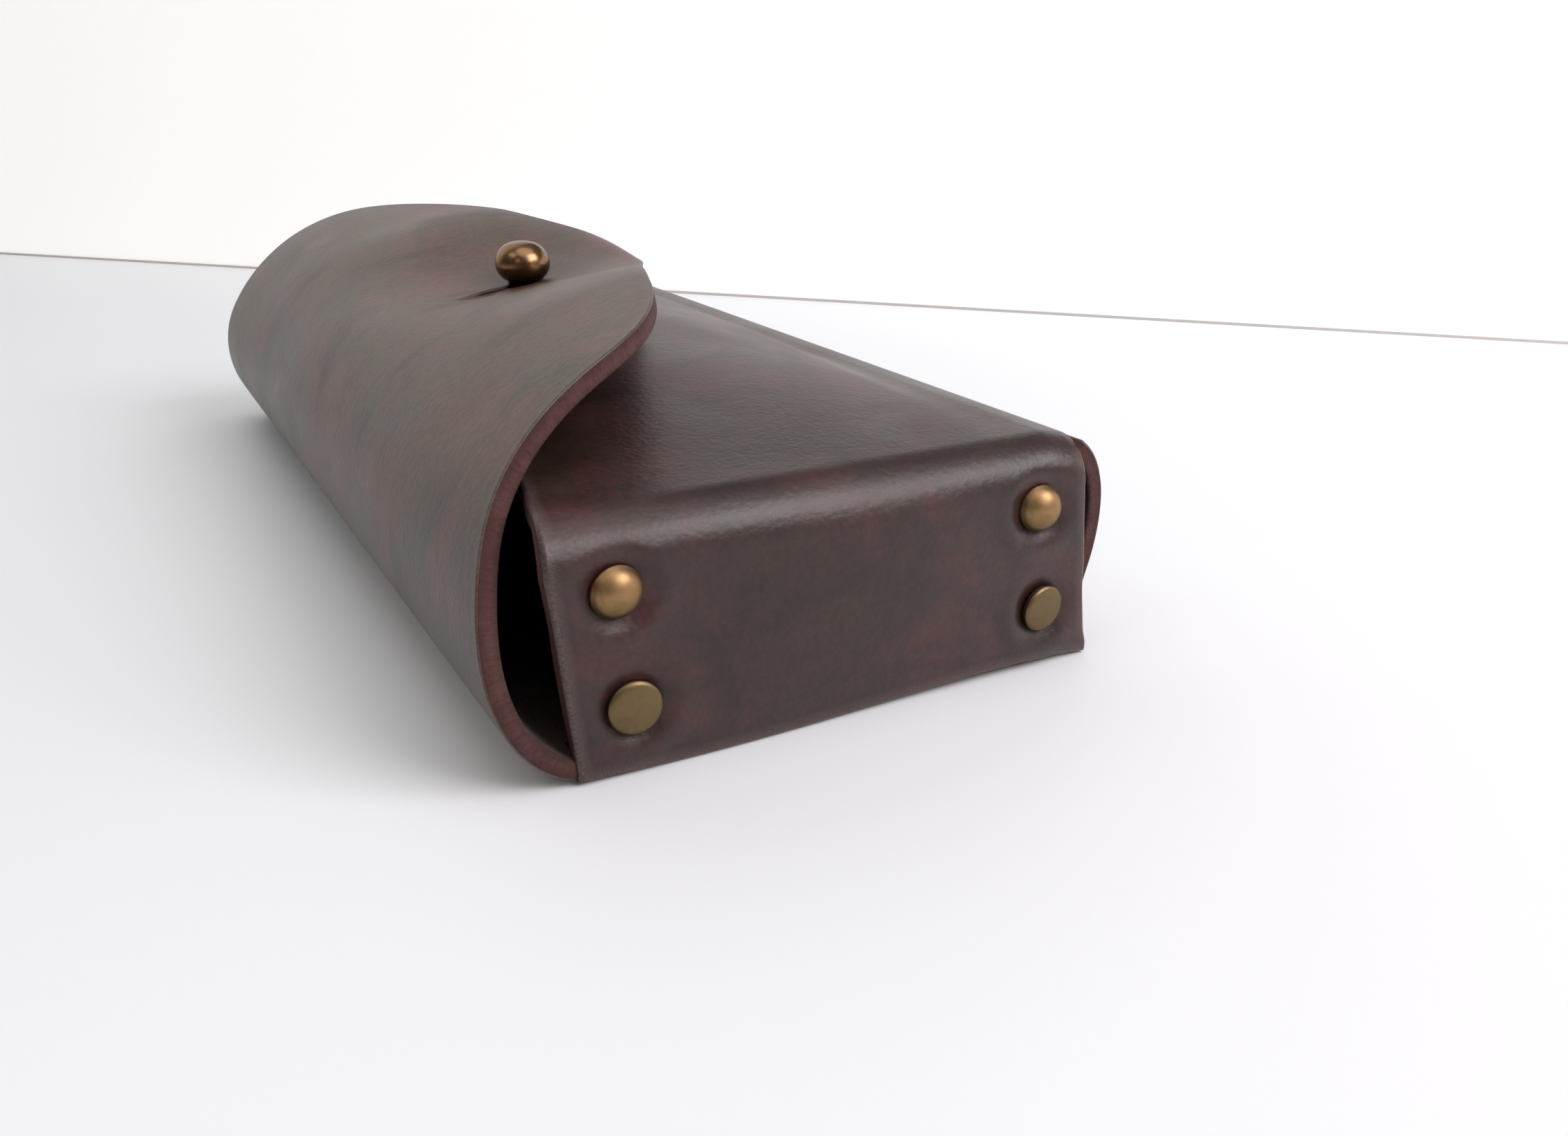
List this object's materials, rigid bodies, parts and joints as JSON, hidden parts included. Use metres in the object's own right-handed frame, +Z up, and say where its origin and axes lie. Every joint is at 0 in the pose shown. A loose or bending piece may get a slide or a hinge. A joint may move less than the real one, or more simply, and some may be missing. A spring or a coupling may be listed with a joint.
{
  "type": "eyeglasses case",
  "caption": "Folded leather eyeglasses case with a wrap-round flap that buttons over a stud, and riveted rounded-top end walls.",
  "frame": {"origin": "middle of the footprint, on the plane the case rests on", "axes": "+Z up; +Y along the length of the case, away from the end shown in the picture's foreground; +X across it, from the flap's wrapped side to the closed spine"},
  "size_m": [0.0781, 0.171, 0.0441],
  "materials": {
    "leather": "satin",
    "flap_leather": "satin",
    "rivet_brass": "satin",
    "rivet_back_brass": "satin",
    "stud_bronze": "gloss"
  },
  "bodies": {
    "case": {"leather_body": "leather", "rivet_cap_near_upper_flap_side": "rivet_brass", "rivet_cap_near_upper_spine_side": "rivet_brass", "rivet_cap_near_lower_flap_side": "rivet_brass", "rivet_cap_near_lower_spine_side": "rivet_brass", "rivet_cap_far_upper_flap_side": "rivet_brass", "rivet_cap_far_upper_spine_side": "rivet_brass", "rivet_cap_far_lower_flap_side": "rivet_brass", "rivet_cap_far_lower_spine_side": "rivet_brass", "rivet_back_near_upper_flap_side": "rivet_back_brass", "rivet_back_near_upper_spine_side": "rivet_back_brass", "rivet_back_near_lower_flap_side": "rivet_back_brass", "rivet_back_near_lower_spine_side": "rivet_back_brass", "rivet_back_far_upper_flap_side": "rivet_back_brass", "rivet_back_far_upper_spine_side": "rivet_back_brass", "rivet_back_far_lower_flap_side": "rivet_back_brass", "rivet_back_far_lower_spine_side": "rivet_back_brass", "stud_head": "stud_bronze", "stud_screw": "stud_bronze"},
    "flap_1": {"flap_wrap_1": "flap_leather"},
    "flap_2": {"flap_wrap_2": "flap_leather"},
    "flap_3": {"flap_wrap_3": "flap_leather"},
    "flap_4": {"flap_wrap_4": "flap_leather"},
    "tongue": {"flap_tongue": "flap_leather"}
  },
  "joints": [
    {"name": "flap_bend_1", "type": "hinge", "parent": "case", "child": "flap_1", "pos_m": [-0.03495, 0, 0.00342], "axis": [0, -1, 0], "range_deg": [0, 16]},
    {"name": "flap_bend_2", "type": "hinge", "parent": "flap_1", "child": "flap_2", "pos_m": [-0.03834, 0, 0.00947], "axis": [0, -1, 0], "range_deg": [0, 20]},
    {"name": "flap_bend_3", "type": "hinge", "parent": "flap_2", "child": "flap_3", "pos_m": [-0.03904, 0, 0.01639], "axis": [0, -1, 0], "range_deg": [0, 24]},
    {"name": "flap_bend_4", "type": "hinge", "parent": "flap_3", "child": "flap_4", "pos_m": [-0.03746, 0, 0.02319], "axis": [0, -1, 0], "range_deg": [0, 28]},
    {"name": "flap_bend_5", "type": "hinge", "parent": "flap_4", "child": "tongue", "pos_m": [-0.03407, 0, 0.02929], "axis": [0, -1, 0], "range_deg": [0, 32]}
  ],
  "couplings": [
    {"joint": "flap_bend_2", "follows": "flap_bend_1", "ratio": 1.25},
    {"joint": "flap_bend_3", "follows": "flap_bend_1", "ratio": 1.5},
    {"joint": "flap_bend_4", "follows": "flap_bend_1", "ratio": 1.75},
    {"joint": "flap_bend_5", "follows": "flap_bend_1", "ratio": 2}
  ]
}
